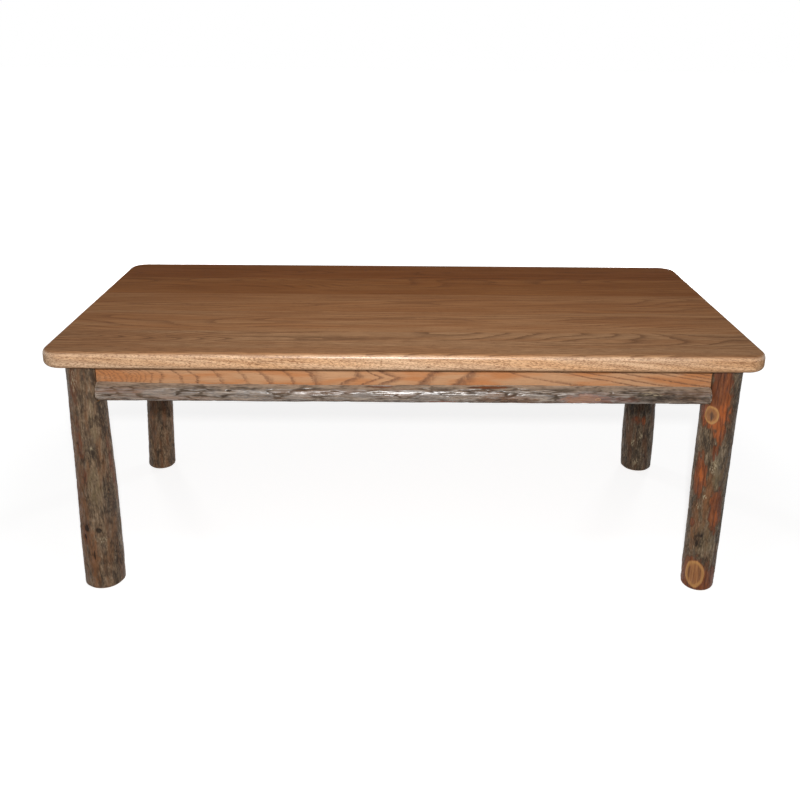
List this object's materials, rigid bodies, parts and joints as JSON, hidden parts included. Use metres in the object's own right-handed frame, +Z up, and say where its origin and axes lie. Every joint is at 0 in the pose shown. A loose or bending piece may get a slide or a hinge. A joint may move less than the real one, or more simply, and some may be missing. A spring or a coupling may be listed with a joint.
{
  "type": "coffee table",
  "caption": "Rustic rectangular coffee table: a thick glued-up oak top with rounded corners on bark-covered log legs, with oak aprons and half-log rails under it.",
  "frame": {"origin": "on the floor under the middle of the top", "axes": "+X along the table to the right seen from the front, -Y towards the front, +Z up"},
  "size_m": [1.2192, 0.6096, 0.4699],
  "materials": {
    "oak_top": "brown stain, satin lacquer",
    "oak_apron": "honey stain, satin lacquer",
    "bark_log": "bark left on, gloss lacquer",
    "block_wood": "bare planed wood",
    "zinc_steel": "zinc plated"
  },
  "bodies": {
    "root": {"top_board_1": "oak_top", "top_board_2": "oak_top", "top_board_3": "oak_top", "top_board_4": "oak_top", "top_board_5": "oak_top", "leg_front_left": "bark_log", "corner_block_front_left": "block_wood", "leg_front_right": "bark_log", "corner_block_front_right": "block_wood", "leg_back_left": "bark_log", "corner_block_back_left": "block_wood", "leg_back_right": "bark_log", "corner_block_back_right": "block_wood", "apron_front": "oak_apron", "log_rail_front": "bark_log", "apron_back": "oak_apron", "log_rail_back": "bark_log", "apron_left": "oak_apron", "log_rail_left": "bark_log", "apron_right": "oak_apron", "log_rail_right": "bark_log", "top_buttons": "block_wood", "hanger_bolts": "zinc_steel", "bolt_washers": "zinc_steel", "bolt_nuts": "zinc_steel", "corner_block_screws": "zinc_steel", "rail_screws": "zinc_steel", "button_screws": "zinc_steel"}
  },
  "joints": []
}
